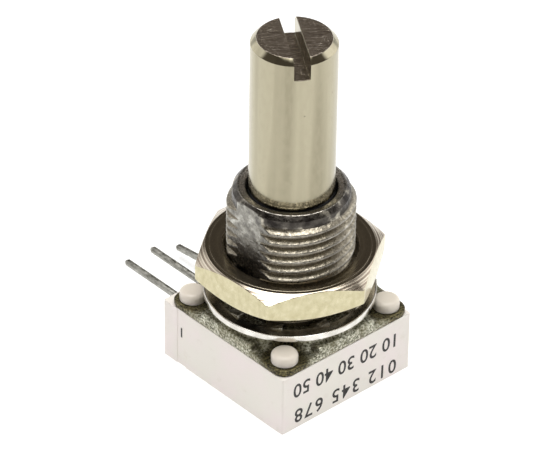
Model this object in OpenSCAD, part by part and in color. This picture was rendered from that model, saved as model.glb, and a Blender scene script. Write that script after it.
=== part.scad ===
// Single-turn panel potentiometer: square body, threaded bushing, slotted shaft.
// Millimetres. The origin is on the shaft axis at the panel face, +Z runs towards the
// shaft tip and the three terminals leave the body towards -Y.

/* [Shaft] */
// Shaft diameter
shaft_d = 6.35; // [5:0.05:6.35]
// Panel face to shaft tip
shaft_len = 22.23; // [16:0.01:40]
// Chamfer on the shaft tip
shaft_chamfer = 0.43; // [0.1:0.01:0.8]
// Width of the screwdriver slot
slot_w = 1.2; // [0.8:0.05:1.6]
// Depth of the screwdriver slot
slot_depth = 1.63; // [1:0.01:2.5]
// Direction of the slot and of the wiper at rest, from +X
rest_angle = 58.6; // [-50:0.1:230]

/* [Bushing and plate] */
// Bushing thread outside diameter
bushing_d = 9.525; // [9.525:0.005:9.6]
// Panel face to bushing end
bushing_len = 9.53; // [9:0.01:12]
// Length of the reduced lead above the thread
lead_len = 0.98; // [0.6:0.01:1.5]
// Diameter of the reduced lead
lead_d = 8.7; // [8.2:0.05:9]
// Chamfer at the bushing end
lead_chamfer = 0.35; // [0.1:0.01:0.5]
// Diameter of the thread run-out between the plate and the top of the nut
runout_d = 9.2; // [8.8:0.05:9.2]
// Distance of the side flat from the axis
flat_x = 4.18; // [4.0:0.01:4.5]
// Side of the square plate
plate_w = 12.7; // [12.5:0.05:13]
// Radius of the plate corners
plate_r = 1.0; // [0.3:0.05:1.2]
// Panel face to underside of the plate
plate_t = 1.61; // [1.5:0.01:1.8]
// Drop from the panel face to the side pads
side_drop = 0.5; // [0.3:0.01:0.6]
// Drop from the panel face to the corner pads
corner_drop = 1.1; // [1:0.01:1.25]
// Width of each side pad
side_pad_w = 5.5; // [4:0.1:6]
// Diameter of the round seat under the washer
seat_d = 12.0; // [11.6:0.1:12.2]

/* [Housing] */
// Width of the housing
body_w = 12.7; // [12.6:0.05:13]
// Panel face to rear face
body_depth = 6.58; // [6.5:0.01:8]
// Axis to the terminal side of the housing
body_back = 6.85; // [6.8:0.05:8]
// Edge radius of the housing
body_r = 0.15; // [0.05:0.01:0.3]
// Distance of each staked post from the axis, along X and Y
post_xy = 5.05; // [5:0.05:5.2]
// Diameter of the staked heads
head_d = 2.0; // [1.9:0.05:2.1]
// Height of the staked heads
head_h = 0.8; // [0.5:0.05:0.9]
// Edge radius of the staked heads
head_r = 0.35; // [0.1:0.05:0.45]

/* [Nut and washer] */
// Nut size across flats
nut_af = 12.7; // [12:0.1:14.3]
// Nut thickness
nut_t = 2.38; // [2:0.01:3.2]
// Panel face to underside of the nut
nut_z = 1.87; // [1.2:0.01:4]
// Angle of one nut corner, from +X
nut_angle = 34.9; // [0:0.1:60]
// Washer outside diameter
washer_d = 12.8; // [12.6:0.05:13.5]
// Washer thickness
washer_t = 0.5; // [0.4:0.05:0.6]
// Number of internal teeth
tooth_count = 10; // [8:1:12]

/* [Terminals] */
// Terminal pin diameter
pin_d = 0.55; // [0.45:0.01:0.6]
// Spacing of the terminals
pin_pitch = 2.54; // [2.4:0.01:2.6]
// Axis to the pin tips
pin_reach = 15.6; // [10:0.1:20]
// Panel face to the pin centres
pin_depth = 4.75; // [4.7:0.01:4.8]
// Downward bend of terminal 3, in degrees
bend_3 = 6.5; // [0:0.5:10]

/* [Element] */
// Inside radius of the resistive track
track_in = 3.6; // [3.4:0.05:3.7]
// Outside radius of the resistive track
track_out = 4.4; // [4.3:0.05:4.5]
// Inside radius of the collector ring
collector_in = 1.2; // [1:0.05:1.3]
// Outside radius of the collector ring
collector_out = 2.0; // [1.9:0.05:2.1]

/* [Hidden] */
$fn = 64;
eps = 0.01;
// fits
bore_gap = 0.035;
nut_gap = 0.04;
// shaft, below the panel face
seal_z = 8.3;
seal_groove_h = 1.1;
seal_groove_r = 2.35;
seal_wire_r = 0.42;
clip_groove_z = -1.52;
clip_groove_h = 0.44;
clip_groove_r = 2.6;
clip_t = 0.38;
clip_r = 4.1;
clip_gap_w = 3.6;
shoulder_z = -1.7;
tang_w = 2.4;
tang_r = 2.9;
tang_end_z = -2.45;
// plate
clip_pocket_r = 4.6;
clip_pocket_z = -1.0;
post_d = 1.7;
post_hole_d = 1.74;
thread_end_z = bushing_len - lead_len;
runout_end_z = nut_z + nut_t + 0.05;
lead_taper = 0.2;
bore_chamfer_h = 0.3;
bore_flare = 0.25;
// housing
chamber_r = 5.1;
substrate_top = -3.8;
substrate_t = 0.64;
substrate_w = 10.4;
pocket_gap = 0.05;
pocket_back = 5.55;
seal_inset = 0.2;
clip_room_w = 7.0;
clip_room_z = -3.52;
notch_w = 0.62;
groove_y0 = -5.35;
groove_y1 = -4.34;
groove_deep = 0.06;
// end stops: the lug and the block leave 300 degrees of free turn between them
lug_half = 12;
block_half = 17.7;
block_r = 4.1;
lug_r = 4.85;
rotor_r = 4.0;
rotor_top = -1.75;
rotor_bottom = -2.85;
// wiper
wiper_t = 0.12;
wiper_w = 1.4;
contact_r = 0.12;
film_t = 0.03;
film_top = substrate_top + film_t;
contact_z = film_top + 0.02 + contact_r;
wiper_out = (track_in + track_out) / 2;
wiper_in = (collector_in + collector_out) / 2;
// element
dead_half = 30;
lead_w = 1.0;
pad_w = 1.6;
lip_t = 0.2;
lip_front = -4.55;
clip_back = -5.45;
clip_w = 1.4;
leg_front = -4.2;
root_y = -body_back - 0.2;
root_h = 0.44;
substrate_bottom = substrate_top - substrate_t;
// washer
washer_in = 5.55;
tooth_in = 4.95;
tooth_w = 1.3;
tooth_tilt = 14;
rim_run = 0.13;
rim_drop = 0.06;
// nut
nut_r = nut_af / 2 / cos(30);
face_inset = 0.1;
face_angle = 30;
nut_chamfer = 0.27;

// A rectangle with round corners, from two opposite corners.
module rounded_rect(x0, y0, x1, y1, r) {
    translate([x0 + r, y0])
        square([x1 - x0 - 2 * r, y1 - y0]);
    translate([x0, y0 + r])
        square([x1 - x0, y1 - y0 - 2 * r]);
    for (x = [x0 + r, x1 - r], y = [y0 + r, y1 - r])
        translate([x, y])
            circle(r);
}

// A flat wedge centred on an angle, wide enough to cut any ring of this part.
module wedge(angle, half, reach) {
    rotate(angle)
        polygon([[0, 0], [reach, -reach * tan(half)], [reach, reach * tan(half)]]);
}

// A ring sector that leaves out the dead zone on the terminal side.
module track_sector(r0, r1) {
    difference() {
        circle(r1);
        circle(r0);
        wedge(-90, dead_half, 8);
    }
}

module shaft() {
    r = shaft_d / 2;
    color([0.78, 0.74, 0.62])
    difference() {
        union() {
            rotate_extrude()
                polygon([
                    [0, shoulder_z], [r, shoulder_z],
                    [r, clip_groove_z], [clip_groove_r, clip_groove_z],
                    [clip_groove_r, clip_groove_z + clip_groove_h], [r, clip_groove_z + clip_groove_h],
                    [r, seal_z], [seal_groove_r, seal_z],
                    [seal_groove_r, seal_z + seal_groove_h], [r, seal_z + seal_groove_h],
                    [r, shaft_len - shaft_chamfer], [r - shaft_chamfer, shaft_len], [0, shaft_len]
                ]);
            rotate(rest_angle)
                intersection() {
                    translate([0, 0, tang_end_z])
                        cylinder(r = tang_r, h = shoulder_z - tang_end_z + eps);
                    translate([-tang_r, -tang_w / 2, tang_end_z])
                        cube([2 * tang_r, tang_w, shoulder_z - tang_end_z + eps]);
                }
        }
        rotate(rest_angle)
            translate([-r - 1, -slot_w / 2, shaft_len - slot_depth])
                cube([2 * r + 2, slot_w, slot_depth + 1]);
    }
}

module shaft_seal() {
    color([0.12, 0.12, 0.12])
    translate([0, 0, seal_z + seal_groove_h / 2])
        rotate_extrude()
            translate([seal_groove_r + eps + seal_wire_r, 0])
                circle(seal_wire_r);
}

module retaining_ring() {
    color([0.45, 0.45, 0.47])
    translate([0, 0, clip_groove_z + (clip_groove_h - clip_t) / 2])
        linear_extrude(clip_t)
            difference() {
                circle(clip_r);
                circle(clip_groove_r + 0.02);
                rotate(rest_angle)
                    translate([0, -clip_gap_w / 2])
                        square([clip_r + 1, clip_gap_w]);
            }
}

// Die-cast plate and bushing in one piece.
module bushing_plate() {
    half = plate_w / 2;
    rb = bushing_d / 2;
    bore_r = shaft_d / 2 + bore_gap;
    color([0.42, 0.43, 0.41])
    difference() {
        union() {
            translate([0, 0, -plate_t])
                linear_extrude(plate_t - corner_drop)
                    rounded_rect(-half, -half, half, half, plate_r);
            translate([-half, -side_pad_w / 2, -corner_drop - eps])
                cube([plate_w, side_pad_w, corner_drop - side_drop + eps]);
            translate([-side_pad_w / 2, -half, -corner_drop - eps])
                cube([side_pad_w, plate_w, corner_drop - side_drop + eps]);
            translate([0, 0, -corner_drop - eps])
                cylinder(d = seat_d, h = corner_drop + eps);
            difference() {
                rotate_extrude()
                    polygon([
                        [0, -eps], [runout_d / 2, -eps], [runout_d / 2, runout_end_z],
                        [rb, runout_end_z], [rb, thread_end_z - lead_taper], [lead_d / 2, thread_end_z],
                        [lead_d / 2, bushing_len - lead_chamfer],
                        [lead_d / 2 - lead_chamfer, bushing_len], [0, bushing_len]
                    ]);
                translate([flat_x, -rb, 0])
                    cube([rb, 2 * rb, bushing_len + 1]);
            }
        }
        translate([0, 0, -plate_t - 1])
            cylinder(r = bore_r, h = plate_t + bushing_len + 2);
        translate([0, 0, bushing_len - bore_chamfer_h])
            cylinder(r1 = bore_r, r2 = bore_r + bore_flare, h = bore_chamfer_h + eps);
        translate([0, 0, -plate_t - 1])
            cylinder(r = clip_pocket_r, h = plate_t + 1 + clip_pocket_z);
        for (x = [-post_xy, post_xy], y = [-post_xy, post_xy])
            translate([x, y, -plate_t - 1])
                cylinder(d = post_hole_d, h = plate_t + 1);
    }
}

// Internal-tooth lock washer with twisted teeth and a deburred upper rim.
module lock_washer() {
    ro = washer_d / 2;
    color([0.5, 0.5, 0.48]) {
        rotate_extrude()
            polygon([
                [washer_in, 0], [ro, 0], [ro, washer_t - rim_drop],
                [ro - rim_run, washer_t], [washer_in, washer_t]
            ]);
        for (k = [0 : tooth_count - 1])
            rotate(k * 360 / tooth_count)
                translate([tooth_in, 0, washer_t / 2 + 0.13])
                    rotate([tooth_tilt, 0, 0])
                        translate([0, -tooth_w / 2, -washer_t * 0.35])
                            cube([washer_in - tooth_in + 0.12, tooth_w, washer_t * 0.7]);
    }
}

// Hexagon nut, turned at a shallow angle across the corners of both faces.
module mounting_nut() {
    rn = bushing_d / 2 + nut_gap;
    face_r = nut_af / 2 - face_inset;
    edge_r = nut_r + face_inset;
    drop = (edge_r - face_r) * tan(face_angle);
    color([0.82, 0.78, 0.6])
    translate([0, 0, nut_z])
        difference() {
            intersection() {
                rotate(nut_angle)
                    cylinder(r = nut_r, h = nut_t, $fn = 6);
                rotate_extrude()
                    polygon([
                        [0, 0], [face_r, 0], [edge_r, drop],
                        [edge_r, nut_t - drop], [face_r, nut_t], [0, nut_t]
                    ]);
            }
            translate([0, 0, -1])
                cylinder(r = rn, h = nut_t + 2);
            translate([0, 0, nut_t + eps - nut_chamfer])
                cylinder(r1 = rn, r2 = rn + nut_chamfer, h = nut_chamfer);
            translate([0, 0, -eps])
                cylinder(r1 = rn + nut_chamfer, r2 = rn, h = nut_chamfer);
        }
}

// Moulded body with four posts whose ends are staked over the plate.
module housing() {
    half = body_w / 2;
    color([0.93, 0.91, 0.87]) {
        difference() {
            translate([0, 0, -body_depth])
                linear_extrude(body_depth - plate_t)
                    rounded_rect(-half, -body_back, half, half, body_r);
            // rotor chamber, open to the plate
            translate([0, 0, substrate_top - eps])
                cylinder(r = chamber_r, h = 5);
            // pocket for the element, open to the rear
            translate([-substrate_w / 2 - pocket_gap, -pocket_back, -body_depth - 1])
                cube([substrate_w + 2 * pocket_gap, pocket_back + substrate_w / 2 + pocket_gap,
                    body_depth + 1 + substrate_top]);
            // room for the terminal clips
            translate([-clip_room_w / 2, -pocket_back, substrate_top - eps])
                cube([clip_room_w, pocket_back + lip_front + 0.15, clip_room_z - substrate_top]);
            // notches for the pins
            for (k = [-1, 0, 1]) {
                translate([k * pin_pitch - notch_w / 2, -body_back - 1, -body_depth - 1])
                    cube([notch_w, body_back, body_depth + 1 - pin_depth]);
                translate([k * pin_pitch, -pocket_back + 1, -pin_depth])
                    rotate([90, 0, 0])
                        cylinder(d = notch_w, h = body_back);
            }
            // shallow groove beside terminal 1
            translate([half - groove_deep, groove_y0, -body_depth - 1])
                cube([1, groove_y1 - groove_y0, body_depth + 1]);
        }
        stop_block();
        for (x = [-post_xy, post_xy], y = [-post_xy, post_xy])
            translate([x, y, 0]) {
                translate([0, 0, -plate_t - eps])
                    cylinder(d = post_d, h = plate_t - corner_drop + 2 * eps);
                translate([0, 0, -corner_drop])
                    staked_head();
            }
    }
}

module staked_head() {
    rotate_extrude() {
        square([head_d / 2 - head_r, head_h]);
        square([head_d / 2, head_h - head_r]);
        translate([head_d / 2 - head_r, head_h - head_r])
            circle(head_r);
    }
}

module stop_block() {
    translate([0, 0, rotor_bottom])
        linear_extrude(-plate_t - rotor_bottom)
            intersection() {
                difference() {
                    circle(chamber_r + 0.1);
                    circle(block_r);
                }
                wedge(-90, block_half, 8);
            }
}

module rotor() {
    color([0.2, 0.24, 0.3])
    difference() {
        translate([0, 0, rotor_bottom])
            linear_extrude(rotor_top - rotor_bottom) {
                circle(rotor_r);
                intersection() {
                    circle(lug_r);
                    wedge(rest_angle, lug_half, 8);
                }
            }
        rotate(rest_angle)
            intersection() {
                translate([0, 0, tang_end_z - 0.05])
                    cylinder(r = tang_r + 0.03, h = 2);
                translate([-4, -tang_w / 2 - 0.03, tang_end_z - 0.05])
                    cube([8, tang_w + 0.06, 2]);
            }
    }
}

// Spring contact: the long arm rides on the track, the short arm on the collector.
module wiper() {
    base_z = rotor_bottom - wiper_t;
    color([0.83, 0.68, 0.33])
    rotate(rest_angle) {
        translate([-0.6, -wiper_w / 2, base_z])
            cube([3.2, wiper_w, wiper_t]);
        translate([0, wiper_w / 2, 0])
            rotate([90, 0, 0])
                linear_extrude(wiper_w) {
                    polygon([
                        [2.45, base_z], [2.6, base_z + wiper_t], [wiper_out + 0.06, contact_z + 0.06],
                        [wiper_out - 0.06, contact_z - 0.06]
                    ]);
                    translate([wiper_out, contact_z])
                        circle(contact_r);
                    polygon([
                        [-0.45, base_z], [-0.6, base_z + wiper_t], [-wiper_in - 0.06, contact_z + 0.06],
                        [-wiper_in + 0.06, contact_z - 0.06]
                    ]);
                    translate([-wiper_in, contact_z])
                        circle(contact_r);
                }
    }
}

module substrate() {
    color([0.92, 0.92, 0.9])
    translate([-substrate_w / 2, -substrate_w / 2, substrate_bottom])
        cube([substrate_w, substrate_w, substrate_t]);
}

module resistive_track() {
    color([0.15, 0.13, 0.12])
    translate([0, 0, substrate_top])
        linear_extrude(film_t)
            track_sector(track_in, track_out);
}

module collector_track() {
    color([0.75, 0.72, 0.66])
    translate([0, 0, substrate_top])
        linear_extrude(film_t) {
            difference() {
                circle(collector_out);
                circle(collector_in);
            }
            translate([-lead_w / 2, -substrate_w / 2])
                square([lead_w, substrate_w / 2 - collector_out + 0.2]);
        }
}

module track_terminations() {
    color([0.8, 0.8, 0.8])
    translate([0, 0, substrate_top])
        linear_extrude(film_t)
            for (s = [-1, 1])
                difference() {
                    translate([s * pin_pitch - pad_w / 2, -substrate_w / 2])
                        square([pad_w, 2.1]);
                    track_sector(track_in - 0.1, track_out);
                }
}

// Pin with a clip that grips the edge of the substrate. The pin is flattened where it
// leaves the housing and round from there on.
module terminal(x, bend) {
    r = pin_d / 2;
    free = pin_reach + root_y;
    color([0.6, 0.6, 0.6])
    translate([x, 0, 0]) {
        translate([-clip_w / 2, -substrate_w / 2 - 0.25, film_top])
            cube([clip_w, 0.25 + substrate_w / 2 + lip_front, lip_t]);
        translate([-clip_w / 2, clip_back, substrate_bottom - lip_t])
            cube([clip_w, -substrate_w / 2 - clip_back, film_top + lip_t - substrate_bottom + lip_t]);
        translate([-clip_w / 2, clip_back, substrate_bottom - lip_t])
            cube([clip_w, leg_front - clip_back, lip_t]);
        translate([-r + 0.02, root_y, -pin_depth - root_h / 2])
            cube([2 * r - 0.04, leg_front - root_y - 0.1, root_h]);
        translate([0, root_y, -pin_depth])
            rotate([90 + bend, 0, 0]) {
                translate([0, 0, -0.05])
                    cylinder(r = r, h = free - 0.15);
                translate([0, 0, free - 0.2])
                    cylinder(r1 = r, r2 = r - 0.12, h = 0.2);
            }
    }
}

module terminal_1() {
    terminal(pin_pitch, 0);
}

module terminal_2() {
    terminal(0, 0);
}

module terminal_3() {
    terminal(-pin_pitch, bend_3);
}

module solder_joints() {
    color([0.7, 0.7, 0.72])
    for (k = [-1, 0, 1])
        translate([k * pin_pitch - 0.6, lip_front, film_top])
            rotate([90, 0, 90])
                linear_extrude(1.2)
                    polygon([[0, 0], [0.22, 0], [0, lip_t - 0.02]]);
}

// Epoxy that fills the rear pocket and the pin notches.
module rear_seal() {
    bottom = -body_depth + seal_inset;
    color([0.86, 0.82, 0.7])
    difference() {
        union() {
            translate([-substrate_w / 2 - pocket_gap, -pocket_back, bottom])
                cube([substrate_w + 2 * pocket_gap, pocket_back + substrate_w / 2 + pocket_gap,
                    substrate_bottom - bottom]);
            for (k = [-1, 0, 1])
                translate([k * pin_pitch - notch_w / 2, -body_back + 0.05, bottom])
                    cube([notch_w, body_back - pocket_back, -pin_depth - bottom]);
        }
        for (k = [-1, 0, 1]) {
            translate([k * pin_pitch - pin_d / 2 - eps, -body_back - 1, -pin_depth - pin_d / 2 - 0.08])
                cube([pin_d + 2 * eps, body_back + 1 + leg_front - 0.08, 1]);
            translate([k * pin_pitch - clip_w / 2 - eps, clip_back - eps, substrate_bottom - lip_t - eps])
                cube([clip_w + 2 * eps, leg_front - clip_back + 2 * eps, 1]);
        }
    }
}

shaft();
shaft_seal();
retaining_ring();
bushing_plate();
lock_washer();
mounting_nut();
housing();
rotor();
wiper();
substrate();
resistive_track();
collector_track();
track_terminations();
terminal_1();
terminal_2();
terminal_3();
solder_joints();
rear_seal();
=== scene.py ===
import math

import bmesh
import bpy
import numpy as np
from mathutils import Matrix, Vector, noise


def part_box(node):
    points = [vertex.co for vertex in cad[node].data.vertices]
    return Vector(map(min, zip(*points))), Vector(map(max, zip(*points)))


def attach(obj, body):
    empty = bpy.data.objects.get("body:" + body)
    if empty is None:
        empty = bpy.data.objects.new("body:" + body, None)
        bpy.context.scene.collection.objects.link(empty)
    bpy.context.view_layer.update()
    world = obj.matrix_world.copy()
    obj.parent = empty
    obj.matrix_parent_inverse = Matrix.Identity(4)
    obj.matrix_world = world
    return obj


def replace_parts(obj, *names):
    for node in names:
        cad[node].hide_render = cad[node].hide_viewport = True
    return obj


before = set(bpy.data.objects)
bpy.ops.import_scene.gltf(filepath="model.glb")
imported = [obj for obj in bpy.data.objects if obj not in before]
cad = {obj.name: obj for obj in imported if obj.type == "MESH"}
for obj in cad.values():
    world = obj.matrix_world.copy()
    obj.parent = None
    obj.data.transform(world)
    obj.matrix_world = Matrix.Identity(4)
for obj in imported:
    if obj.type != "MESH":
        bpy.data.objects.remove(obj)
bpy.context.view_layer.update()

# The looks of a square panel potentiometer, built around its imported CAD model.
# Lengths are named in millimetres and turned into metres where a mesh is built.
MM = 0.001
# Points closer than this are joined. It is in metres.
WELD = 0.0001 * MM


def box_mm(node):
    """Lowest and highest corner of a CAD node, in millimetres."""
    low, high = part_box(node)
    return low / MM, high / MM


# ---------------------------------------------------------------- sizes in millimetres
HOUSING_LOW, HOUSING_HIGH = box_mm("housing")
NUT_LOW, NUT_HIGH = box_mm("mounting_nut")
BUSHING_TOP = box_mm("bushing_plate")[1].z
SHAFT_TOP = box_mm("shaft")[1].z
# From this radius outwards the washer's rim is painted lighter: a painted highlight.
RIM_HIGHLIGHT_R = box_mm("lock_washer")[1].x - 0.13
POST_XY = 5.05

# Direction of the scratches on the shaft's tip, in degrees.
SCRATCH_ANGLE = 140

# The 3/8-32 thread. A crest passes CREST_Z at CREST_ANGLE, in radians. The flank goes from
# CREST_FLAT to ROOT_FLAT of the way from a crest to the middle of a root.
PITCH = 25.4 / 32
CREST_R = 4.7625
ROOT_R = 4.33
CREST_Z = 5.0
CREST_ANGLE = math.radians(47.5)
CREST_FLAT = 0.13
ROOT_FLAT = 0.86
THREAD_STEP = PITCH / 19
THREAD_START = 0.35
THREAD_END = 8.35
RUN_OUT_DEEP = 0.16
RUN_OUT_LENGTH = 0.3
CHASE_GAP = 0.05

# Wear takes WEAR_DEEP off the outside, made uneven by noise of each (scale, depth).
WEAR_DEEP = 0.017
WEAR_NOISE = ((1.7, 0.009), (5.0, 0.008))

# Radii between which the thread's metal goes from dull to worn, and from a darker colour in the roots, a
# painted shade, to the flank colour.
WORN_R = (4.69, 4.80)
ROOT_SHADE_R = (4.34, 4.56)

# The bushing's plain end, its bore and its side flat.
BUSHING_FOOT = -0.05
LEAD_R = 4.35
LEAD_TAPER = 0.2
LEAD_CHAMFER = 0.35
LIP_R = 3.9
LIP_DEEP = 0.08
MOUTH_R = 3.42
MOUTH_DEEP = 0.12
FLARE_DEEP = 0.34
BORE_R = 3.21
BORE_SHOWN = 1.5
FLAT_X = 4.18
# Below this height the side flat is painted darker: a painted dark reflection.
FLAT_DARK_REFLECTION_Z = 5.4
FLAT_ROUGH = 0.03
EDGE_CURVE = 0.05
CAST_VOXEL = 0.115

# The nut, with a corner at NUT_ANGLE and a fine tool mark round its face.
NUT_FLATS = 12.7
NUT_ANGLE = math.radians(34.9)
NUT_FACE_R = NUT_FLATS / 2 - 0.1
NUT_SLOPE = math.tan(math.radians(30))
NUT_BORE_R = 4.8025
BORE_CHAMFER = 0.27
TOOL_MARK_R = NUT_FACE_R - 0.24
TOOL_MARK_DEEP = 0.03
TOOL_MARK_HALF = 0.08


# ---------------------------------------------------------------- meshes
def tube_mesh(name, rows):
    """A closed mesh from rows of points round the Z axis; the last row joins the first."""
    points = np.array(rows) * MM
    count, around = points.shape[:2]
    index = np.arange(count * around).reshape(count, around)
    across = np.roll(index, -1, axis=1)
    quads = np.stack([index, across, np.roll(across, -1, axis=0), np.roll(index, -1, axis=0)], -1)
    mesh = bpy.data.meshes.new(name)
    mesh.from_pydata(points.reshape(-1, 3).tolist(), [], quads.reshape(-1, 4).tolist())
    mesh.polygons.foreach_set("use_smooth", np.ones(len(mesh.polygons), bool))
    mesh.update()
    return mesh


def ring_row(radius, angles, z):
    """One row of points at a height; radius is one number or one for each angle."""
    radius = np.broadcast_to(radius, angles.shape)
    z = np.broadcast_to(z, angles.shape)
    return np.stack([radius * np.cos(angles), radius * np.sin(angles), z], -1)


def curve_start(corner, neighbour, radius):
    """Where a corner's curve meets the edge to its neighbour, at most 0.45 of the way along."""
    away = neighbour - corner
    length = np.linalg.norm(away)
    return corner + away / length * min(radius, length * 0.45)


def soften(corners, radius, steps=4):
    """The outline with each inner corner replaced by a small curve. Corners are (r, z) pairs."""
    corners = [np.array(c, float) for c in corners]
    line = [corners[0]]
    for before, at, after in zip(corners, corners[1:], corners[2:]):
        start = curve_start(at, before, radius)
        end = curve_start(at, after, radius)
        for t in np.linspace(0, 1, steps):
            line.append((1 - t) ** 2 * start + 2 * t * (1 - t) * at + t ** 2 * end)
    return line + [corners[-1]]


def smoothstep(x, low, high):
    """0 below low, 1 above high and an even blend between."""
    t = np.clip((x - low) / (high - low), 0, 1)
    return t * t * (3 - 2 * t)


def thread_radius(z, angles):
    """Radius of the right-handed thread at a height and at each angle."""
    turns = (z - CREST_Z) / PITCH - (angles - CREST_ANGLE) / (2 * math.pi)
    from_crest = np.abs((turns + 0.5) % 1.0 - 0.5) * 2
    flank = np.clip((from_crest - CREST_FLAT) / (ROOT_FLAT - CREST_FLAT), 0, 1)
    return CREST_R - (CREST_R - ROOT_R) * (0.75 * flank + 0.25 * smoothstep(flank, 0, 1))


def object_from(name, mesh, body, *materials):
    """A piece of the object, riding on a CAD body."""
    piece = bpy.data.objects.new(name, mesh)
    bpy.context.scene.collection.objects.link(piece)
    for material in materials:
        piece.data.materials.append(material)
    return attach(piece, body)


def evaluated_mesh(data, *modifiers):
    """The mesh of a mesh or text, with modifiers applied. Each is (type, {setting: value})."""
    holder = bpy.data.objects.new("holder", data)
    bpy.context.scene.collection.objects.link(holder)
    for kind, settings in modifiers:
        modifier = holder.modifiers.new(kind, kind)
        for key, value in settings.items():
            setattr(modifier, key, value)
    graph = bpy.context.evaluated_depsgraph_get()
    made = bpy.data.meshes.new_from_object(holder.evaluated_get(graph))
    bpy.data.objects.remove(holder)
    return made


def roughen(mesh, depth, scale):
    """Sinks each vertex a little below the surface, by smooth noise, for a cast skin."""
    normals = [v.normal.copy() for v in mesh.vertices]
    for vertex, normal in zip(mesh.vertices, normals):
        coarse = noise.noise(vertex.co / MM * scale)
        fine = noise.noise(vertex.co / MM * scale * 3.1)
        vertex.co -= normal * depth * MM * (0.5 + 0.35 * coarse + 0.25 * fine)


# ---------------------------------------------------------------- bushing and plate
def bushing_angles():
    """Angles round the bushing, closer together where the thread ends at the flat."""
    near, far = 12, 33
    fine = np.arange(near, far, 0.6)
    flat = np.linspace(-near, near, 14, endpoint=False)
    rest = np.linspace(far, 360 - far, 150, endpoint=False)
    return np.radians(np.concatenate([flat, fine, rest, (360 - fine[1:])[::-1]]))


def wear_down(rows):
    """Wears the bushing's outside and makes its side flat, both a little uneven."""
    for row in rows:
        for point in row:
            if math.hypot(point[0], point[1]) > LEAD_R - 0.4:
                uneven = sum(noise.noise(Vector(point) * scale) * depth for scale, depth in WEAR_NOISE)
                point[:2] *= 1 - (WEAR_DEEP + uneven) / CREST_R
            if point[2] >= 0 and point[0] > FLAT_X:
                point[0] = FLAT_X + noise.noise(Vector(point) * 1.3) * FLAT_ROUGH


def bushing_mesh():
    """The threaded bushing with its lead, rim, bore and side flat."""
    angles = bushing_angles()
    rim = soften(
        [
            (CREST_R, THREAD_END), (LEAD_R, THREAD_END + LEAD_TAPER),
            (LEAD_R, BUSHING_TOP - LEAD_CHAMFER), (LEAD_R - LEAD_CHAMFER, BUSHING_TOP),
            (LIP_R, BUSHING_TOP), (LIP_R - LIP_DEEP, BUSHING_TOP - LIP_DEEP),
            (MOUTH_R, BUSHING_TOP - MOUTH_DEEP), (BORE_R, BUSHING_TOP - FLARE_DEEP),
            (BORE_R, BUSHING_TOP - BORE_SHOWN),
        ],
        EDGE_CURVE,
    )
    low_r = CREST_R - RUN_OUT_DEEP
    rows = [ring_row(low_r, angles, BUSHING_FOOT)]
    for z in np.arange(0, THREAD_END, THREAD_STEP):
        run_out = low_r + RUN_OUT_DEEP * smoothstep(z, THREAD_START, THREAD_START + RUN_OUT_LENGTH)
        rows.append(ring_row(np.minimum(thread_radius(z, angles), run_out), angles, z))
    for r, z in rim:
        outside = r > LEAD_R + 0.01 and z < THREAD_END + 0.3
        rows.append(ring_row(np.minimum(thread_radius(z, angles), r) if outside else r, angles, z))
    rows.append(ring_row(BORE_R, angles, BUSHING_FOOT))
    rows = np.array(rows)
    wear_down(rows)
    return tube_mesh("bushing", rows)


def plate_mesh():
    """The die-cast plate, with the softened edges and rough skin of a casting."""
    stub = 0.02
    work = bmesh.new()
    work.from_mesh(cad["bushing_plate"].data)
    bmesh.ops.remove_doubles(work, verts=work.verts, dist=WELD)
    cut = bmesh.ops.bisect_plane(
        work, geom=work.verts[:] + work.edges[:] + work.faces[:], dist=1e-8,
        plane_co=(0, 0, stub * MM), plane_no=(0, 0, 1), clear_outer=True,
    )
    rim = [e for e in cut["geom_cut"] if isinstance(e, bmesh.types.BMEdge)]
    bmesh.ops.triangle_fill(work, edges=rim, use_beauty=True)
    mesh = bpy.data.meshes.new("plate_cut")
    work.to_mesh(mesh)
    work.free()
    cast = evaluated_mesh(
        mesh,
        ("REMESH", {"mode": "VOXEL", "voxel_size": CAST_VOXEL * MM, "use_smooth_shade": True}),
        ("SMOOTH", {"factor": 0.5, "iterations": 2}),
    )
    roughen(cast, 0.03, 2.2)
    return cast


def bushing_and_plate(thread_metal, cast_metal):
    """One casting: the bushing's mesh and the plate's in one piece."""
    work = bmesh.new()
    work.from_mesh(plate_mesh())
    for face in work.faces:
        face.material_index = 1
    work.from_mesh(bushing_mesh())
    bmesh.ops.remove_doubles(work, verts=work.verts, dist=WELD)
    bmesh.ops.recalc_face_normals(work, faces=work.faces)
    mesh = bpy.data.meshes.new("threaded_bushing_plate")
    work.to_mesh(mesh)
    work.free()
    mesh.polygons.foreach_set("use_smooth", np.ones(len(mesh.polygons), bool))
    piece = object_from("threaded_bushing_plate", mesh, "frame", thread_metal, cast_metal)
    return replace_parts(piece, "bushing_plate")


# ---------------------------------------------------------------- nut
def nut_angles():
    """Angles round the nut, closer together at its six corners."""
    near = [-3, -2, -1.3, -0.8, -0.4, 0, 0.4, 0.8, 1.3, 2, 3]
    side = np.radians(near + list(np.linspace(5, 55, 26)))
    return np.concatenate([NUT_ANGLE + k * math.pi / 3 + side for k in range(6)])


def hexagon_radius(angles):
    """Radius of a hexagon with slightly rounded corners."""
    sharpness = 90
    total = sum(
        np.clip(np.cos(angles - NUT_ANGLE - (k + 0.5) * math.pi / 3), 0, 1) ** sharpness for k in range(6)
    )
    return NUT_FLATS / 2 / total ** (1 / sharpness)


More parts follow.
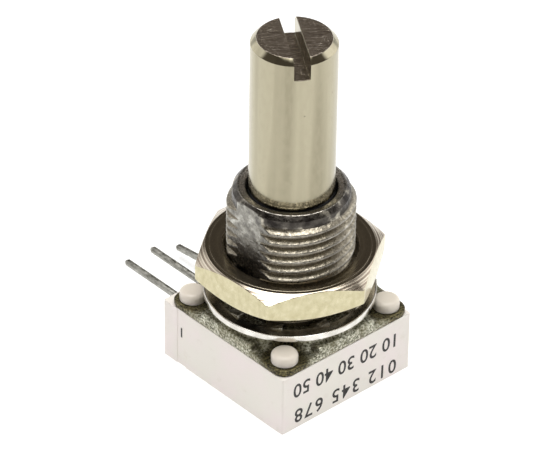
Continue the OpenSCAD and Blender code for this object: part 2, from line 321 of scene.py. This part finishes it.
def hex_nut(metal):
    """The nut, chamfered on both faces, with its thread in phase with the bushing's."""
    low, high = NUT_LOW.z, NUT_HIGH.z
    angles = nut_angles()
    columns = []
    for corner_r in hexagon_radius(angles):
        drop = (corner_r - NUT_FACE_R) * NUT_SLOPE
        outline = [
            (NUT_BORE_R, low + BORE_CHAMFER), (NUT_BORE_R + BORE_CHAMFER, low), (NUT_FACE_R, low),
            (corner_r, low + drop), (corner_r, high - drop), (NUT_FACE_R, high),
            (TOOL_MARK_R + TOOL_MARK_HALF, high), (TOOL_MARK_R, high - TOOL_MARK_DEEP),
            (TOOL_MARK_R - TOOL_MARK_HALF, high),
            (NUT_BORE_R + BORE_CHAMFER, high), (NUT_BORE_R, high - BORE_CHAMFER),
        ]
        columns.append(soften(outline, EDGE_CURVE))
    columns = np.array(columns)
    rows = [ring_row(columns[:, k, 0], angles, columns[:, k, 1]) for k in range(columns.shape[1])]
    for z in np.arange(high - BORE_CHAMFER, low + BORE_CHAMFER, -THREAD_STEP)[1:]:
        from_end = min(z - low, high - z) - BORE_CHAMFER
        chased = np.maximum(thread_radius(z, angles) + CHASE_GAP, NUT_BORE_R - from_end)
        rows.append(ring_row(chased, angles, z))
    piece = object_from("hex_nut", tube_mesh("hex_nut", rows), "nut", metal)
    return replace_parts(piece, "mounting_nut")


# ---------------------------------------------------------------- printed numbers
# Two rows stand upside down on the side away from the terminals, and a 1 in the groove by terminal 1.
# Each row has its text, its letter spacing and the Z of its line.
ROWS = [("012 345 678", 1.2, -5.06), ("10 20 30 40 50", 1.02, -2.72)]
ROW_X = 0.05
ROW_HEIGHT = 1.18
ROW_TILT = -1.2
FIGURE_Y = -4.9
FIGURE_Z = -4.04
FIGURE_HEIGHT = 0.85
INK_LIFT = 0.002
GROOVE_DEEP = 0.06

# A figure's height as a part of its font's size.
FIGURE_PART = 0.7


def print_marks(name, lines, ink):
    """Plain numbers in thin ink. Each line is (text, height, spacing, matrix of its place), in mm."""
    work = bmesh.new()
    for text, height, spacing, place in lines:
        curve = bpy.data.curves.new("line", "FONT")
        curve.body = text
        curve.size = height / FIGURE_PART
        curve.align_x = "CENTER"
        curve.extrude = 0.004
        curve.offset = 0.02
        curve.space_character = spacing
        curve.resolution_u = 4
        mesh = evaluated_mesh(curve)
        mesh.transform(Matrix.Scale(MM, 4) @ place)
        work.from_mesh(mesh)
    mesh = bpy.data.meshes.new(name)
    work.to_mesh(mesh)
    work.free()
    return object_from(name, mesh, "frame", ink)


def face_place(x, y, z, along, up, tilt=0.0):
    """Matrix for text whose lines run along one direction, with its top towards another."""
    along, up = Vector(along), Vector(up)
    turn = Matrix((along, up, along.cross(up))).transposed().to_4x4()
    return Matrix.Translation((x, y, z)) @ turn @ Matrix.Rotation(math.radians(tilt), 4, "Z")


def print_numbers(ink):
    """The two rows and the figure, as one piece."""
    face_y = HOUSING_HIGH.y + INK_LIFT
    groove_x = HOUSING_HIGH.x - GROOVE_DEEP + INK_LIFT
    lines = []
    for text, spacing, z in ROWS:
        place = face_place(ROW_X, face_y, z, (1, 0, 0), (0, 0, -1), ROW_TILT)
        lines.append((text, ROW_HEIGHT, spacing, place))
    place = face_place(groove_x, FIGURE_Y, FIGURE_Z, (0, 1, 0), (0, 0, 1))
    lines.append(("1", FIGURE_HEIGHT, 1.0, place))
    print_marks("printed_numbers", lines, ink)


# ---------------------------------------------------------------- materials
def srgb(*values):
    """A linear colour from 0 to 255 screen values."""
    unit = [v / 255 for v in values]
    linear = [u / 12.92 if u <= 0.04045 else ((u + 0.055) / 1.055) ** 2.4 for u in unit]
    return (*linear, 1.0)


def set_stops(ramp, stops):
    """Gives a colour ramp node its stops. Each is (position, colour)."""
    elements = ramp.color_ramp.elements
    while len(elements) < len(stops):
        elements.new(0.5)
    for element, (position, colour) in zip(elements, stops):
        element.position = position
        element.color = colour


class Finish:
    """A material with short calls for its nodes. Sizes in its textures are in millimetres."""

    def __init__(self, name, metallic, **sockets):
        self.material = bpy.data.materials.new(name)
        self.material.use_nodes = True
        self.tree = self.material.node_tree
        self.shader = self.tree.nodes["Principled BSDF"]
        self.shader.inputs["Metallic"].default_value = metallic
        for key, value in sockets.items():
            self.shader.inputs[key.replace("_", " ")].default_value = value
        self.source = self.tree.nodes.new("ShaderNodeTexCoord")

    def add(self, kind, **settings):
        """A new node with these settings."""
        made = self.tree.nodes.new(kind)
        for key, value in settings.items():
            setattr(made, key, value)
        return made

    def link(self, output, socket):
        """Joins a node's output to a socket."""
        self.tree.links.new(output, socket)

    def place(self, stretch=(1, 1, 1)):
        """Object coordinates in millimetres, each multiplied by its stretch."""
        mapping = self.add("ShaderNodeMapping")
        mapping.inputs["Scale"].default_value = [s / MM for s in stretch]
        self.link(self.source.outputs["Object"], mapping.inputs["Vector"])
        return mapping.outputs["Vector"]

    def turned(self, angle, stretch):
        """As place, but stretched along axes turned by an angle round Z, in degrees."""
        rotate = self.add("ShaderNodeVectorRotate", rotation_type="Z_AXIS")
        rotate.inputs["Angle"].default_value = -math.radians(angle)
        self.link(self.place(), rotate.inputs["Vector"])
        scaled = self.add("ShaderNodeVectorMath", operation="MULTIPLY")
        scaled.inputs[1].default_value = stretch
        self.link(rotate.outputs["Vector"], scaled.inputs[0])
        return scaled.outputs["Vector"]

    def noise(self, scale, stretch=(1, 1, 1), detail=3.0, roughness=0.55, where=None):
        """Noise from 0 to 1 with about this many grains to a millimetre."""
        made = self.add("ShaderNodeTexNoise")
        made.inputs["Scale"].default_value = scale
        made.inputs["Detail"].default_value = detail
        made.inputs["Roughness"].default_value = roughness
        self.link(where or self.place(stretch), made.inputs["Vector"])
        return made.outputs["Fac"]

    def radius(self):
        """Distance from the Z axis in millimetres."""
        made = self.add("ShaderNodeVectorMath", operation="LENGTH")
        self.link(self.place((1, 1, 0)), made.inputs[0])
        return made.outputs["Value"]

    def rings(self, scale):
        """Turned rings round the Z axis, as noise from 0 to 1 that depends on the radius only."""
        made = self.add("ShaderNodeTexNoise", noise_dimensions="1D")
        made.inputs["Scale"].default_value = scale
        made.inputs["Detail"].default_value = 2.0
        made.inputs["Roughness"].default_value = 0.6
        self.link(self.radius(), made.inputs["W"])
        return made.outputs["Fac"]

    def from_posts(self):
        """Distance from the nearest of the four staked posts, in millimetres."""
        value = self.place((1, 1, 0))
        for operation, operand in (("ABSOLUTE", None), ("SUBTRACT", (POST_XY, POST_XY, 0))):
            made = self.add("ShaderNodeVectorMath", operation=operation)
            self.link(value, made.inputs[0])
            if operand:
                made.inputs[1].default_value = operand
            value = made.outputs["Vector"]
        length = self.add("ShaderNodeVectorMath", operation="LENGTH")
        self.link(value, length.inputs[0])
        return length.outputs["Value"]

    def facing(self, axis):
        """The surface normal along X, Y or Z, in the object's own space."""
        made = self.add("ShaderNodeSeparateXYZ")
        self.link(self.source.outputs["Normal"], made.inputs[0])
        return made.outputs[axis]

    def height(self, axis="Z"):
        """The place along X, Y or Z, in millimetres."""
        made = self.add("ShaderNodeSeparateXYZ")
        self.link(self.place(), made.inputs[0])
        return made.outputs[axis]

    def spread(self, value, low, high, out_low=0.0, out_high=1.0):
        """A value in low..high moved to out_low..out_high and held there outside."""
        made = self.add("ShaderNodeMapRange", interpolation_type="SMOOTHSTEP")
        for key, number in zip(("From Min", "From Max", "To Min", "To Max"), (low, high, out_low, out_high)):
            made.inputs[key].default_value = number
        self.link(value, made.inputs["Value"])
        return made.outputs["Result"]

    def maths(self, operation, a, b):
        """One sum. Each side is a number or a node's output."""
        made = self.add("ShaderNodeMath", operation=operation)
        for value, socket in ((a, made.inputs[0]), (b, made.inputs[1])):
            if isinstance(value, (int, float)):
                socket.default_value = value
            else:
                self.link(value, socket)
        return made.outputs[0]

    def ramp(self, value, *stops):
        """Colour from a value. Each stop is (position, colour)."""
        made = self.add("ShaderNodeValToRGB")
        set_stops(made, stops)
        self.link(value, made.inputs["Fac"])
        return made.outputs["Color"]

    def mix(self, factor, a, b):
        """Colour a where the factor is 0 and b where it is 1."""
        made = self.add("ShaderNodeMix", data_type="RGBA")
        for value, socket in ((factor, made.inputs[0]), (a, made.inputs[6]), (b, made.inputs[7])):
            if isinstance(value, (tuple, float)):
                socket.default_value = value
            else:
                self.link(value, socket)
        return made.outputs[2]

    def colour(self, output):
        """Sets the base colour."""
        self.link(output, self.shader.inputs["Base Color"])

    def rough(self, value, low, high):
        """Roughness from a 0 to 1 texture."""
        self.link(self.spread(value, 0.3, 0.7, low, high), self.shader.inputs["Roughness"])

    def bump(self, value, depth):
        """Relief of this depth in millimetres, on top of any added before."""
        made = self.add("ShaderNodeBump")
        made.inputs["Distance"].default_value = depth * MM
        self.link(value, made.inputs["Height"])
        socket = self.shader.inputs["Normal"]
        if socket.is_linked:
            self.link(socket.links[0].from_socket, made.inputs["Normal"])
        self.link(made.outputs["Normal"], socket)


def mottled(name, metallic, dark, light, rough, scale, relief):
    """A finish whose colour, roughness and relief vary by noise of one scale."""
    finish = Finish(name, metallic)
    grain = finish.noise(scale)
    finish.colour(finish.ramp(grain, (0.3, dark), (0.7, light)))
    finish.rough(finish.noise(scale * 2.3), *rough)
    finish.bump(finish.noise(scale * 4.1), relief)
    return finish.material


def shaft_metal():
    """Satin nickel plate: soft streaks along the shaft, which in the colour are partly painted reflection
    bands, and a turned and scratched tip.
    """
    finish = Finish("shaft_nickel", 1.0)
    # Lengthwise bands: satin streaks in the relief, and in the colour partly painted reflection bands.
    streaks_and_painted_bands = finish.noise(0.62, (1, 1, 0.05), 1.5)
    mottle = finish.noise(2.6, (1, 1, 0.5), 3.0)
    side = finish.mix(
        finish.spread(mottle, 0.3, 0.75, 0.0, 0.5),
        finish.ramp(streaks_and_painted_bands, (0.40, srgb(151, 145, 123)), (0.58, srgb(174, 168, 145))),
        srgb(166, 159, 137),
    )
    specks = finish.spread(finish.noise(4.5, detail=2.0, roughness=0.8), 0.71, 0.78)
    side = finish.mix(specks, side, srgb(112, 104, 86))
    up = finish.spread(finish.facing("Z"), 0.8, 0.95)
    across = finish.turned(SCRATCH_ANGLE, (0.35, 2.6, 1))
    scratches = finish.noise(2.4, detail=3.0, roughness=0.7, where=across)
    tip = finish.ramp(scratches, (0.35, srgb(158, 147, 134)), (0.70, srgb(214, 204, 190)))
    milled = finish.ramp(scratches, (0.35, srgb(142, 131, 118)), (0.70, srgb(196, 185, 170)))
    above_slot = finish.spread(finish.height(), SHAFT_TOP - 1.4, SHAFT_TOP - 0.9)
    finish.colour(finish.mix(up, side, finish.mix(above_slot, milled, tip)))
    chamfer = finish.maths("SUBTRACT", finish.spread(finish.facing("Z"), 0.35, 0.6), up)
    satin = finish.spread(finish.noise(6.0, (1, 1, 0.04), 2.0), 0.3, 0.7, 0.16, 0.25)
    polish = finish.spread(chamfer, 0.0, 1.0, 1.0, 0.4)
    finish.link(finish.maths("MULTIPLY", satin, polish), finish.shader.inputs["Roughness"])
    finish.bump(streaks_and_painted_bands, 0.01)
    finish.bump(finish.maths("MULTIPLY", scratches, up), 0.03)
    return finish.material


def nut_metal():
    """Pale nickel plate: mottled sides, fine turned rings on the faces and chamfers, and faces painted
    darker than the sides, a painted shade.
    """
    finish = Finish("nut_plate", 1.0)
    patches = finish.noise(2.0, (1, 1, 0.7), 3.0)
    grains = finish.noise(5.0, detail=2.0)
    side = finish.mix(
        finish.spread(grains, 0.3, 0.7),
        finish.ramp(patches, (0.32, srgb(184, 176, 142)), (0.68, srgb(208, 201, 171))),
        finish.ramp(patches, (0.32, srgb(191, 183, 149)), (0.68, srgb(201, 194, 161))),
    )
    tilt = finish.maths("ABSOLUTE", finish.facing("Z"), 0.0)
    turned = finish.spread(tilt, 0.3, 0.8)
    face = finish.spread(tilt, 0.92, 0.98)
    chamfer = finish.maths("SUBTRACT", turned, face)
    cuts = finish.rings(8.0)
    swirl = finish.rings(1.8)
    cut_colour = finish.ramp(cuts, (0.38, srgb(160, 147, 132)), (0.62, srgb(214, 205, 188)))
    # The flat faces carry turned rings, and they are painted darker than the sides as painted shade.
    turned_face_and_shade = finish.ramp(swirl, (0.30, srgb(127, 119, 103)), (0.70, srgb(156, 147, 128)))
    finish.colour(finish.mix(turned, side, finish.mix(face, cut_colour, turned_face_and_shade)))
    finish.rough(grains, 0.16, 0.22)
    finish.bump(finish.maths("MULTIPLY", cuts, chamfer), 0.02)
    finish.bump(finish.maths("MULTIPLY", swirl, face), 0.006)
    flank = finish.maths("SUBTRACT", 1.0, turned)
    finish.bump(finish.maths("MULTIPLY", patches, flank), 0.004)
    return finish.material


def side_flat_colour(finish, blotches, sparkle):
    """Colour of the bushing's side flat, painted darker on its lower part as a painted dark reflection."""
    clean = finish.ramp(
        blotches, (0.32, srgb(100, 98, 94)), (0.52, srgb(142, 140, 133)), (0.70, srgb(190, 189, 182)),
    )
    painted_dark_reflection = finish.ramp(sparkle, (0.35, srgb(58, 54, 50)), (0.72, srgb(120, 117, 112)))
    return finish.mix(finish.spread(finish.height(), FLAT_DARK_REFLECTION_Z, FLAT_DARK_REFLECTION_Z + 1.6), painted_dark_reflection, clean)


def thread_metal():
    """Zinc casting with a cut thread: bright worn crests, dull flanks with painted shade in the roots, and a
    plain end painted dark as a reflection, with painted highlight patches.
    """
    finish = Finish("thread_zinc", 1.0)
    blotches = finish.noise(1.4, detail=4.0, roughness=0.65)
    sparkle = finish.noise(3.6, detail=3.0, roughness=0.7)
    worn = finish.maths("ADD", finish.radius(), finish.maths("MULTIPLY", sparkle, 0.10))
    crest = finish.spread(worn, *WORN_R)
    lead = finish.spread(finish.height(), THREAD_END + 0.12, THREAD_END + 0.24)
    top = finish.spread(finish.facing("Z"), 0.75, 0.95)
    flat = finish.spread(finish.height("X"), FLAT_X - 0.06, FLAT_X - 0.03)
    bright = finish.ramp(
        blotches, (0.30, srgb(122, 118, 110)), (0.55, srgb(158, 154, 145)), (0.75, srgb(208, 204, 194)),
    )
    dull = finish.ramp(sparkle, (0.32, srgb(112, 106, 95)), (0.68, srgb(176, 169, 152)))
    # The plain end above the thread is painted dark, a painted reflection, with bright patches that are
    # painted highlights.
    patches = finish.noise(0.75, detail=3.0)
    painted_collar_reflection = finish.ramp(
        patches, (0.36, srgb(44, 41, 39)), (0.56, srgb(84, 80, 75)), (0.72, srgb(212, 206, 190)),
    )
    rim = finish.ramp(sparkle, (0.38, srgb(112, 108, 102)), (0.66, srgb(214, 208, 198)))
    side = side_flat_colour(finish, blotches, sparkle)
    # The roots are painted darker than the flanks: painted shade in the thread's hollows.
    root = finish.spread(finish.radius(), *ROOT_SHADE_R)
    body = finish.mix(crest, finish.mix(root, srgb(124, 117, 104), dull), bright)
    finish.colour(finish.mix(flat, finish.mix(lead, body, finish.mix(top, painted_collar_reflection, rim)), side))
    finish.rough(sparkle, 0.42, 0.2)
    finish.bump(finish.noise(3.0, detail=2.0, roughness=0.6), 0.03)
    finish.bump(sparkle, 0.03)
    return finish.material


def cast_metal():
    """Dull grey-green casting skin, speckled light and dark, with painted shade round the posts."""
    finish = Finish("cast_zinc", 0.9)
    specks = finish.noise(5.4, detail=3.0, roughness=0.7)
    stains = finish.noise(0.9, detail=3.0)
    skin = finish.ramp(
        specks, (0.36, srgb(70, 68, 55)), (0.50, srgb(150, 149, 130)), (0.62, srgb(214, 213, 198)),
    )
    stained = finish.mix(finish.spread(stains, 0.42, 0.62), skin, finish.mix(0.5, skin, srgb(104, 98, 70)))
    # Painted shade: the plate is painted darkest round the four posts.
    painted_post_shade = finish.ramp(specks, (0.40, srgb(34, 32, 24)), (0.66, srgb(124, 116, 82)))
    ragged = finish.maths("ADD", finish.from_posts(), stains)
    finish.colour(finish.mix(finish.spread(ragged, 2.0, 2.6), painted_post_shade, stained))
    finish.rough(specks, 0.52, 0.34)
    finish.bump(specks, 0.05)
    finish.bump(finish.noise(1.8, detail=2.0), 0.05)
    return finish.material


def washer_metal():
    """Plated spring steel, with a few dull stains and fine marks, and a painted highlight along its rim."""
    finish = Finish("washer_steel", 1.0)
    stains = finish.noise(1.2, detail=3.0)
    surface = finish.ramp(stains, (0.3, srgb(158, 153, 136)), (0.7, srgb(218, 214, 202)))
    # Painted highlight: the rim is painted lighter and kept smooth.
    painted_rim_highlight = finish.spread(finish.radius(), RIM_HIGHLIGHT_R, RIM_HIGHLIGHT_R + 0.05)
    rim = finish.ramp(stains, (0.3, srgb(206, 203, 195)), (0.7, srgb(236, 234, 228)))
    finish.colour(finish.mix(painted_rim_highlight, surface, rim))
    finish.rough(finish.noise(3.0), 0.16, 0.26)
    marks = finish.noise(3.5, detail=2.0)
    finish.bump(finish.maths("MULTIPLY", marks, finish.maths("SUBTRACT", 1.0, painted_rim_highlight)), 0.004)
    return finish.material


def pin_metal():
    """Dull tin plate with marks drawn along the pin."""
    finish = Finish("tin_plate", 1.0)
    drawn = finish.noise(3.6, (1, 0.5, 1), 3.0, 0.7)
    finish.colour(finish.ramp(drawn, (0.32, srgb(112, 111, 104)), (0.68, srgb(178, 177, 170))))
    finish.rough(drawn, 0.3, 0.46)
    finish.bump(drawn, 0.03)
    return finish.material


def white_moulding():
    """Warm white moulding with faint pink and green shifts and a fine moulded skin."""
    finish = Finish("white_moulding", 0.0, Specular_IOR_Level=0.45)
    tint = finish.noise(0.28, detail=2.0)
    faint = finish.noise(1.5, detail=4.0)
    base = finish.ramp(
        tint, (0.35, srgb(230, 226, 218)), (0.50, srgb(231, 225, 219)), (0.65, srgb(233, 224, 221)),
    )
    skin = finish.mix(finish.spread(faint, 0.55, 0.85), base, srgb(223, 217, 208))
    staked = finish.spread(finish.height(), HOUSING_HIGH.z - 0.8, HOUSING_HIGH.z - 0.5)
    finish.colour(finish.mix(staked, skin, finish.mix(0.7, skin, srgb(205, 196, 180))))
    finish.rough(faint, 0.34, 0.44)
    finish.bump(finish.noise(7.0, detail=3.0), 0.0035)
    finish.bump(finish.noise(0.6, detail=2.0), 0.012)
    return finish.material


def black_ink():
    """Thin black ink that broke up a little as it was printed."""
    finish = Finish("black_ink", 0.0)
    wear = finish.noise(6.0, detail=4.0, roughness=0.7)
    finish.colour(finish.ramp(wear, (0.35, srgb(18, 16, 16)), (0.8, srgb(66, 60, 58))))
    finish.rough(wear, 0.5, 0.7)
    finish.bump(wear, 0.003)
    return finish.material


def clean_cad(node, material, bevel):
    """A CAD node kept as it is, with a fine edge bevel and its finish.

    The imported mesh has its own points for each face, so they are welded before the bevel. The
    second weld joins the points that the bevel leaves together where it has no room.
    """
    piece = cad[node]
    weld = piece.modifiers.new("weld", "WELD")
    weld.merge_threshold = WELD
    planar = piece.modifiers.new("planar", "DECIMATE")
    planar.decimate_type = "DISSOLVE"
    planar.angle_limit = math.radians(0.5)
    edge = piece.modifiers.new("edge", "BEVEL")
    edge.width = bevel * MM
    edge.segments = 3
    edge.limit_method = "ANGLE"
    edge.angle_limit = math.radians(28)
    joined = piece.modifiers.new("joined", "WELD")
    joined.merge_threshold = WELD
    normals = piece.modifiers.new("normals", "WEIGHTED_NORMAL")
    normals.weight = 80
    piece.data.materials.clear()
    piece.data.materials.append(material)


# ---------------------------------------------------------------- build
bushing_and_plate(thread_metal(), cast_metal())
hex_nut(nut_metal())

moulding = white_moulding()
ink = black_ink()
tin = pin_metal()
silver = mottled("silver_film", 1.0, srgb(196, 190, 178), srgb(222, 218, 208), (0.35, 0.5), 3.0, 0.004)
rubber = mottled("seal_rubber", 0.0, srgb(24, 24, 24), srgb(40, 40, 40), (0.5, 0.7), 4.0, 0.004)
steel = mottled("spring_steel", 1.0, srgb(150, 150, 152), srgb(186, 186, 188), (0.3, 0.42), 3.0, 0.003)
rotor_plastic = mottled("rotor_moulding", 0.0, srgb(42, 46, 56), srgb(58, 62, 72), (0.4, 0.55), 2.0, 0.006)
contact = mottled("contact_alloy", 1.0, srgb(214, 178, 92), srgb(236, 206, 128), (0.2, 0.32), 4.0, 0.002)
ceramic = mottled("alumina", 0.0, srgb(232, 232, 226), srgb(246, 246, 242), (0.45, 0.6), 3.0, 0.005)
resistor = mottled("resistor_film", 0.0, srgb(26, 24, 23), srgb(48, 44, 42), (0.4, 0.6), 5.0, 0.004)
solder = mottled("solder", 1.0, srgb(176, 176, 180), srgb(222, 222, 226), (0.2, 0.35), 2.0, 0.01)
epoxy = mottled("epoxy", 0.0, srgb(224, 214, 184), srgb(240, 232, 206), (0.2, 0.35), 1.2, 0.02)

# CAD nodes that keep their shape, each with its finish and the width of its edge bevel.
KEPT = {
    "shaft": (shaft_metal(), 0.04),
    "lock_washer": (washer_metal(), 0.02),
    "housing": (moulding, 0.06),
    "terminal_1": (tin, 0.02),
    "terminal_2": (tin, 0.02),
    "terminal_3": (tin, 0.02),
    "shaft_seal": (rubber, 0.02),
    "retaining_ring": (steel, 0.03),
    "rotor": (rotor_plastic, 0.05),
    "wiper": (contact, 0.01),
    "substrate": (ceramic, 0.03),
    "resistive_track": (resistor, 0.005),
    "collector_track": (silver, 0.005),
    "track_terminations": (silver, 0.005),
    "solder_joints": (solder, 0.02),
    "rear_seal": (epoxy, 0.015),
}
for node, (material, bevel) in KEPT.items():
    clean_cad(node, material, bevel)

print_numbers(ink)


# ---------------------------------------------------------------- camera
# Distance, aim and focal length are in millimetres.
AZIMUTH = math.radians(137.55)
ELEVATION = math.radians(35.49)
ROLL = math.radians(0.93)
DISTANCE = 332.9
AIM = Vector((1.047, -1.122, 5.760))
LENS = 304.0


def direction(azimuth, elevation):
    """Unit vector towards a place in the sky. Azimuth 0 is over -Y and 90 degrees over +X."""
    level_part = math.cos(elevation)
    return Vector((math.sin(azimuth) * level_part, -math.cos(azimuth) * level_part, math.sin(elevation)))


back = direction(AZIMUTH, ELEVATION)
level = Vector((math.cos(AZIMUTH), math.sin(AZIMUTH), 0))
upright = back.cross(level)
right = math.cos(ROLL) * level + math.sin(ROLL) * upright
above = -math.sin(ROLL) * level + math.cos(ROLL) * upright

lens = bpy.data.cameras.new("camera")
lens.lens = LENS
lens.sensor_width = 36.0
lens.clip_start = 0.01
lens.clip_end = 10.0
camera = bpy.data.objects.new("camera", lens)
camera.matrix_world = (
    Matrix.Translation((AIM + back * DISTANCE) * MM)
    @ Matrix((right, above, back)).transposed().to_4x4()
)
bpy.context.scene.collection.objects.link(camera)
bpy.context.scene.camera = camera


# ---------------------------------------------------------------- floor and light
# Azimuth, elevation and half-width in degrees, and strength: left, right and a weak one in front.
SOFTBOXES = [(20, 24, 21, 1.4), (254, 24, 21, 1.9), (138, 28, 15, 0.45)]
SOFT_EDGE = 7.0

# The sky's colour by the sine of the elevation, and where and how much it is stronger overhead.
SKY = [
    (0.00, (0.9, 0.9, 0.9, 1)), (0.10, (0.75, 0.75, 0.75, 1)), (0.24, (0.15, 0.13, 0.11, 1)),
    (0.83, (0.12, 0.105, 0.09, 1)), (0.91, (0.75, 0.74, 0.72, 1)), (1.00, (1.0, 1.0, 1.0, 1)),
]
OVERHEAD = {"From Min": 0.84, "From Max": 0.94, "To Min": 1.0, "To Max": 6.3}

FLOOR_HALF = 1500
FLOOR_GAP = 0.02


def floor():
    """A plain pale floor under the housing."""
    mesh = bpy.data.meshes.new("floor")
    half = FLOOR_HALF * MM
    z = (HOUSING_LOW.z - FLOOR_GAP) * MM
    corners = [(-half, -half, z), (half, -half, z), (half, half, z), (-half, half, z)]
    mesh.from_pydata(corners, [], [(0, 1, 2, 3)])
    plane = bpy.data.objects.new("floor", mesh)
    bpy.context.scene.collection.objects.link(plane)
    finish = Finish("floor_white", 0.0, Roughness=0.9, Specular_IOR_Level=0.0, Emission_Strength=0.55)
    finish.colour(finish.ramp(finish.noise(0.02), (0.3, srgb(196, 196, 196)), (0.7, srgb(199, 199, 199))))
    plane.data.materials.append(finish.material)


def softbox(tree, source, azimuth, elevation, size, strength):
    """Light from one soft-edged round patch of the sky. Angles are in degrees."""
    toward = tree.nodes.new("ShaderNodeVectorMath")
    toward.operation = "DOT_PRODUCT"
    toward.inputs[1].default_value = direction(math.radians(azimuth), math.radians(elevation))
    tree.links.new(source.outputs["Generated"], toward.inputs[0])
    fade = tree.nodes.new("ShaderNodeMapRange")
    fade.interpolation_type = "SMOOTHSTEP"
    fade.inputs["From Min"].default_value = math.cos(math.radians(size + SOFT_EDGE))
    fade.inputs["From Max"].default_value = math.cos(math.radians(size - SOFT_EDGE))
    fade.inputs["To Max"].default_value = strength
    tree.links.new(toward.outputs["Value"], fade.inputs["Value"])
    light = tree.nodes.new("ShaderNodeBackground")
    tree.links.new(fade.outputs["Result"], light.inputs["Strength"])
    return light


def studio():
    """Soft light: a pale horizon, a dim band above it, a softbox overhead and three lower ones."""
    world = bpy.data.worlds.new("studio")
    world.use_nodes = True
    bpy.context.scene.world = world
    tree = world.node_tree
    source = tree.nodes.new("ShaderNodeTexCoord")
    split = tree.nodes.new("ShaderNodeSeparateXYZ")
    tree.links.new(source.outputs["Generated"], split.inputs[0])
    ramp = tree.nodes.new("ShaderNodeValToRGB")
    set_stops(ramp, SKY)
    tree.links.new(split.outputs["Z"], ramp.inputs["Fac"])
    strength = tree.nodes.new("ShaderNodeMapRange")
    strength.interpolation_type = "SMOOTHSTEP"
    for key, number in OVERHEAD.items():
        strength.inputs[key].default_value = number
    tree.links.new(split.outputs["Z"], strength.inputs["Value"])
    total = tree.nodes["Background"]
    tree.links.new(ramp.outputs["Color"], total.inputs["Color"])
    tree.links.new(strength.outputs["Result"], total.inputs["Strength"])
    for azimuth, elevation, size, power in SOFTBOXES:
        both = tree.nodes.new("ShaderNodeAddShader")
        tree.links.new(total.outputs[0], both.inputs[0])
        tree.links.new(softbox(tree, source, azimuth, elevation, size, power).outputs[0], both.inputs[1])
        total = both
    tree.links.new(total.outputs[0], tree.nodes["World Output"].inputs["Surface"])


floor()
studio()
bpy.context.scene.view_settings.view_transform = "Standard"
